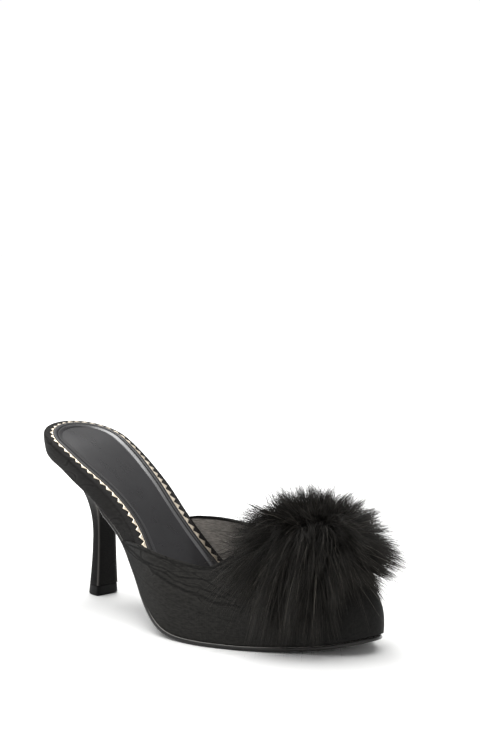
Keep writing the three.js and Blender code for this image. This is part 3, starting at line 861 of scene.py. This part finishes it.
def vamp_point(t, side, angle, inset=0.0):
    """The vamp at a station: 0 is the feather line and a quarter turn the ridge. Across, it is a
    superellipse with a bulge on the sides. Near the toe the ridge is set back, and sections fan."""
    x = station_x(t)
    toe = part(x, 0.86, 1)
    ridge_x = x - toe_setback * part(x, 0.78, 1)
    ridge_y = middle_at(ridge_x)
    top = vamp_height * ridge_share(ridge_x / shoe_length) - inset
    power = 2 / mix(2.5, 2.15, toe)
    foot_x, foot_y = inset_point(t, side, inset)
    reach = np.maximum(1, np.hypot(foot_x - ridge_x, foot_y - ridge_y))
    level = np.abs(np.cos(angle))
    bulge = side_bulge * np.abs(np.sin(2 * angle)) * level / reach
    across = level ** power + bulge
    height = np.abs(np.sin(angle)) ** power
    return np.stack([mix(ridge_x, foot_x, across) - heel_from_back, mix(ridge_y, foot_y, across),
                     mix(rise_at(x), top, height)], -1)


def cut_angle(t, side):
    """The angle at which each section meets the topline, or a quarter turn where it stays under it."""
    angle = np.linspace(0, np.pi / 2, 700)[None]
    over = over_topline(vamp_point(t[:, None], side, angle))
    first = np.argmax(over >= 0, axis=1)
    found = (over >= 0).any(1)
    before = np.maximum(first - 1, 0)
    row = np.arange(len(t))
    low = over[row, before]
    high = over[row, first]
    share = np.where(first > 0, -low / np.maximum(high - low, 1e-9), 0)
    return np.where(found, mix(angle[0, before], angle[0, first], share), np.pi / 2)


search = np.linspace(station_of(0.25 * shoe_length), station_of(0.85 * shoe_length), 6000)
ridge_line = vamp_point(search, -1, np.full_like(search, np.pi / 2))
throat = search[np.nonzero(over_topline(ridge_line) > 0)[0][-1] + 1]


def side_start(side):
    """The first station at which the topline lies over the feather line on a side."""
    foot = vamp_point(search, side, np.zeros_like(search))
    return search[np.argmax(over_topline(foot) < -0.6)]


open_rows = 110
shut_rows = 84
vamp_columns = 66
half_forms = []
for side in (-1, 1):
    back = steps(open_rows)
    t_open = mix(throat, side_start(side), (1 - back) ** 1.7)
    t_shut = mix(throat, 1.0, steps(shut_rows)[1:])
    t_all = np.concatenate([t_open, t_shut])
    limit = cut_angle(t_all, side)
    limit[open_rows - 1:] = np.pi / 2
    column = steps(vamp_columns) ** 1.05
    half_forms.append(vamp_point(t_all[:, None], side, limit[:, None] * column[None]))
hem_line = np.concatenate([half_forms[0][:open_rows, -1], half_forms[1][open_rows - 2::-1, -1]])


def from_hem(points):
    """Each point's distance from the topline."""
    return np.linalg.norm(points[:, None] - hem_line[None], axis=-1).min(1)


# The watered figure's main lines on the outer side, as heights over the floor along the shoe. The
# second is the thick one, and the lower ones leave the first near the back of the topline.
figure_lines = [
    curve_of([40, 53.5, 65, 79, 91, 100, 108, 118, 123, 128, 150],
             [37, 35.6, 34, 33.3, 32.9, 31.3, 30.6, 30.7, 29.4, 27.1, 22]),
    curve_of([40, 62, 70, 81, 85, 95, 103, 112, 120, 129, 134, 140, 160],
             [38, 36.2, 34.9, 32.5, 30.5, 28.3, 26.4, 24.8, 23.1, 21.5, 21.3, 19.6, 15]),
    curve_of([40, 75, 84, 95, 105, 113, 121, 126, 150], [36, 33, 31.9, 30.6, 28.6, 27.6, 26.2, 25.2, 19]),
    curve_of([80, 90, 93.6, 97, 102.6, 106, 112, 115, 130], [46, 41, 38.2, 36.3, 34.9, 35.7, 36, 36.1, 37]),
    curve_of([60, 85, 106, 113, 121, 125, 150], [27, 22.5, 18.5, 17.1, 15.1, 14.8, 12]),
]
far_off = 60.0


def figure_marks(points):
    """Heights over each placed line on the outer side. Elsewhere they are far away, so that only the
    noise draws. The strength is full along the upper lines and less low down, at the toe and behind.
    With them go the distance from the topline, and painted shade for the back of the side and the toe."""
    x = points[:, 0]
    z = points[:, 2]
    off = far_off * ramp(points[:, 1], -18, -8) + far_off * ramp(x, 138, 150)
    heights = [z - line(x) for line in figure_lines]
    heights = [height + np.where(height < 0, -off, off) for height in heights]
    lower = ramp(heights[1], -6, -1)
    force = mix(0.3, 0.95, lower) * mix(1.0, 0.45, ramp(off, 0, far_off))
    # Painted shade: darker at the back of the outer side and towards the toe, under the fur, where shade
    # falls.
    painted_vamp_shade = 0.8 * (1 - ramp(x, 52, 92)) + 0.6 * ramp(x, 158, 182)
    return {"figure": np.stack(heights[:3], -1),
            "figure_more": np.stack([*heights[3:], np.full_like(x, far_off)], -1),
            "figure_force": np.stack([force, np.minimum(from_hem(points), 9), painted_vamp_shade], -1)}


vamp_points = np.concatenate([form.reshape(-1, 3) for form in half_forms])
vamp_quads = grid_faces(len(half_forms[0]), vamp_columns, False)
vamp_faces = np.concatenate([vamp_quads, vamp_quads[:, ::-1] + len(vamp_points) // 2])
vamp_fabric = watered_fabric("watered_fabric_vamp", "#070707", "#2b2a28", "X", (0.0, 0.3, 0.0), 1.0, True)
vamp = make_piece("vamp", vamp_points, vamp_fabric, figure_marks(vamp_points), vamp_faces)
thick = vamp.modifiers.new("wall", "SOLIDIFY")
thick.thickness = wall / 1000
thick.offset = -1
thick.use_even_offset = False
thick.material_offset = 1
thick.material_offset_rim = 0
soften = vamp.modifiers.new("folded_edge", "BEVEL")
soften.width = 0.0006
soften.segments = 3
soften.limit_method = "ANGLE"
soften.angle_limit = np.radians(50)
lining_fabric = watered_fabric("watered_fabric_lining", "#4e4b48", "#9d9892", "Z", (0.0, 0.0, 0.0), 1.0,
                               fold="#171615")
vamp.data.materials.append(lining_fabric)
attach(vamp, "root")
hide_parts("upper")


# Pompom
# A knot of long, dense fur sewn to the vamp. The hairs stand out all round, hang down over the side,
# and part into locks at their tips, with longer guard hairs among them.
fur_centre = np.array([158.8, -2.5, 45.0])
rng = np.random.default_rng(7)

# How far the vamp reaches from its own axis, as a table over length and turn, for hairs to lie on.
axis_height = 2.5
cell_length = 2.0
table_x = 113
table_turn = 60


def shell_cell(x, turn):
    """The table's row and column at a length from the back and a turn about the vamp's axis."""
    row = np.clip((x / cell_length).astype(int), 0, table_x - 1)
    return row, np.clip((turn / np.pi * table_turn).astype(int), 0, table_turn - 1)


shell = np.concatenate([form[open_rows // 3:].reshape(-1, 3) for form in half_forms])
shell_x = shell[:, 0] + heel_from_back
shell_y = shell[:, 1] - middle_at(shell_x)
shell_z = shell[:, 2] - axis_height
shell_table = np.zeros((table_x, table_turn))
np.maximum.at(shell_table, shell_cell(shell_x, np.arctan2(shell_z, shell_y)), np.hypot(shell_z, shell_y))
for _ in range(3):
    padded = np.pad(shell_table, ((0, 0), (1, 1)))
    beside = np.maximum(padded[:, :-2], padded[:, 2:])
    shell_table = np.where(shell_table == 0, beside, shell_table)


def lie_on_vamp(points, clear):
    """Moves points that are inside the vamp out along a line from its axis, to stand clear of it."""
    x = points[..., 0] + heel_from_back
    y = points[..., 1] - middle_at(np.clip(x, 0, shoe_length))
    over = points[..., 2] - axis_height
    z = np.maximum(over, 0.01)
    need = np.where(x < shoe_length, shell_table[shell_cell(x, np.arctan2(z, y))] + clear, 0)
    grow = np.maximum(1, need / np.maximum(np.hypot(y, z), 1e-6)) - 1
    moved = points.copy()
    moved[..., 1] += y * grow
    moved[..., 2] += np.maximum(over, 0) * grow
    return moved


def way_of(up, turn):
    """The unit vector with this rise, turned this far from +X."""
    level = np.sqrt(1 - up ** 2)
    return np.stack([level * np.cos(turn), level * np.sin(turn), up], -1)


lock_count = 480
lock_up = rng.uniform(-0.5, 1, lock_count)
lock_turn = rng.uniform(-np.pi, np.pi, lock_count)
lock_way = way_of(lock_up, lock_turn)
lock_long = rng.uniform(0.82, 1.1, lock_count)
lock_bend = rng.normal(0, 0.13, (lock_count, 3))
lock_swing = rng.uniform(0.4, 1.15, lock_count)
fur_ahead = 53.0
fur_beside = 50.5
fur_below = 44.5


def hairs(count, turns, ups, long, gather, width, droop, pale):
    """Tapered three-sided hairs. Each leaves the knot along its own direction and gathers towards its
    lock. Level ones first rise in an arch, as a half sine. Those over the two sides of the shoe hang:
    their reach levels off as they fall. Hairs that point at the throat are longer, and those over
    the toe and above are shorter. None passes the fur's limits ahead, beside and below its centre."""
    sides = 3
    rings = 6
    up = rng.uniform(*ups, count)
    turn = np.radians(rng.uniform(*turns, count))
    way = way_of(up, turn)
    lock = np.concatenate([(part @ lock_way.T).argmax(1) for part in np.array_split(way, 40)])
    way = way + rng.normal(0, 0.09, (count, 3))
    outer = ramp(turn, np.radians(-130), np.radians(-90)) * (1 - ramp(turn, np.radians(-60), np.radians(-8)))
    inner = ramp(turn, np.radians(75), np.radians(105)) * (1 - ramp(turn, np.radians(125), np.radians(165)))
    hang = (outer + 0.8 * inner) * (1 - ramp(up, 0.15, 0.85))
    throat_side = ramp(np.cos(turn + np.radians(145)), 0.35, 1.0) * (1 - ramp(up, 0.25, 0.9))
    reach = long * lock_long[lock] * rng.uniform(0.84, 1.04, count)
    reach = reach * (1 + 0.27 * hang) * (1 + 0.15 * throat_side) * (1 - 0.07 * ramp(up, 0.5, 1.0))
    front = ramp(np.cos(turn - np.radians(46)), 0.3, 0.9)
    reach = reach * (1 + 0.04 * front - (0.34 - 0.14 * front) * ramp(-up, 0.05, 0.5) * (1 - hang))
    reach = reach * (1 - 0.09 * front * ramp(up, 0.1, 0.4))
    share = steps(rings)[None, :, None]
    target = lock_way[lock] + lock_bend[lock]
    toward = unit(mix(way[:, None], target[:, None], gather * share ** 1.3))
    start = rng.uniform(0.08, 0.5, count)[:, None, None]
    along_it = mix(start, 1.0, share)
    swing = (hang * lock_swing[lock] * rng.uniform(0.85, 1.1, count))[:, None, None]
    path = fur_centre + toward * along_it * (1 - 0.42 * swing * along_it) * reach[:, None, None]
    fall = (droop + 0.74 * swing[..., 0]) * along_it[..., 0] ** 1.8
    near = 0.25 + 0.75 * ramp(np.cos(turn + np.radians(60)), -0.1, 0.7)
    rise = 9.5 * near * (1 - ramp(up, 0.3, 0.95)) * (1.3 - 0.7 * lock_swing[lock])
    arch = rise[:, None] * np.sin(np.pi * along_it[..., 0])
    path[..., 2] += arch - fall * reach[:, None]
    path = path + 0.8 * np.sin(3.5 * share + rng.uniform(0, 6.28, (count, 1, 3))) * share
    away = path - fur_centre
    deep = fur_below - 12 * rng.random((count, 1))
    over = np.maximum(away[..., 0] / fur_ahead, np.abs(away[..., 1] + 1) / fur_beside)
    over = np.maximum(over, -away[..., 2] / deep)
    path = fur_centre + away / np.maximum(over.max(1), 1)[:, None, None]
    path = lie_on_vamp(path, 0.3 + 2.2 * rng.random((count, 1)) ** 2)
    path[..., 2] = np.maximum(path[..., 2], 0.3)
    along = unit(np.gradient(path, axis=1))
    across = unit(np.cross(along, np.array([0.31, -0.27, 0.91])))
    over = np.cross(along, across)
    round_turn = 2 * np.pi * np.arange(sides) / sides
    taper = np.array([1.0, 1.0, 0.9, 0.7, 0.42, 0.0])
    radius = 0.5 * width * taper * rng.uniform(0.75, 1.25, (count, 1))
    ring = np.cos(round_turn)[:, None] * across[:, :, None] + np.sin(round_turn)[:, None] * over[:, :, None]
    body = (path[:, :, None] + radius[..., None, None] * ring)[:, :-1].reshape(count, -1, 3)
    points = np.concatenate([body, path[:, -1:]], 1)
    per = (rings - 1) * sides + 1
    j = np.arange(sides)
    quads = grid_faces(rings - 1, sides, True)
    last = (rings - 2) * sides
    tip = np.full(sides, per - 1)
    caps = np.stack([last + j, last + (j + 1) % sides, tip, tip], -1)
    faces = np.concatenate([quads, caps, np.array([[2, 1, 0, 0]])])
    faces = (faces[None] + np.arange(count)[:, None, None] * per).reshape(-1, 4)
    grow = np.concatenate([np.repeat(steps(rings)[:-1], sides), [1.0]])
    light = pale * rng.random((count, 1)) ** 3
    marks = np.stack(np.broadcast_arrays(grow[None], rng.random((count, 1)), light), -1)
    return points, faces, marks


fox = blank("dark_fox_fur")
# Dyed long-haired fur, nearly black at the roots, with a silky gloss along each hair. Towards the fine
# tips it is painted lighter and browner, as painted light coming through the thin hairs.
fibre = channels(fox, "fibre")
fur_root = blend(fox, fibre["Y"], shade("#050504"), shade("#0e0d0b"))
# Painted light: the tips are lighter, for the light that comes through the thin hairs.
fur_tip = blend(fox, fibre["Y"], shade("#0d0d0b"), shade("#2f2c28"))
fur_tone = blend(fox, spread(fox, fibre["X"], 0.0, 1.0, 0.35, 1.0), fur_root, fur_tip)
fur_pale = blend(fox, fibre["Z"], fur_tone, shade("#827d75"))
fur_gloss = spread(fox, fibre["Y"], 0.42, 0.62)
principled(fox, {"Base Color": fur_pale, "Roughness": fur_gloss, "Specular IOR Level": 0.22})

# Name, count, turns from +X in degrees, rises, length in mm, gathering, width in mm, droop, paleness.
fur_kinds = [
    ("fur_under", 5200, (-180, 180), (-0.5, 1), 31.0, 0.3, 0.5, 0.09, 0.0),
    ("fur_locks_1", 6400, (-180, 180), (-0.45, 1), 39.0, 0.85, 0.3, 0.1, 0.04),
    ("fur_locks_2", 6400, (-180, 180), (-0.45, 1), 41.0, 0.75, 0.27, 0.12, 0.04),
    ("fur_side", 2400, (-118, -20), (-0.3, 0.6), 36.0, 0.6, 0.26, 0.12, 0.08),
    ("fur_guard", 2200, (-180, 180), (-0.45, 1), 47.0, 0.35, 0.14, 0.15, 0.6),
    ("fur_stray", 200, (-180, 180), (-0.4, 0.95), 60.0, 0.1, 0.12, 0.4, 0.8),
]
for name, *kind in fur_kinds:
    points, faces, marks = hairs(*kind)
    fur = make_piece(name, points, fox, {"fibre": marks}, faces)
    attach(fur, "root")
    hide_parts("pompom")
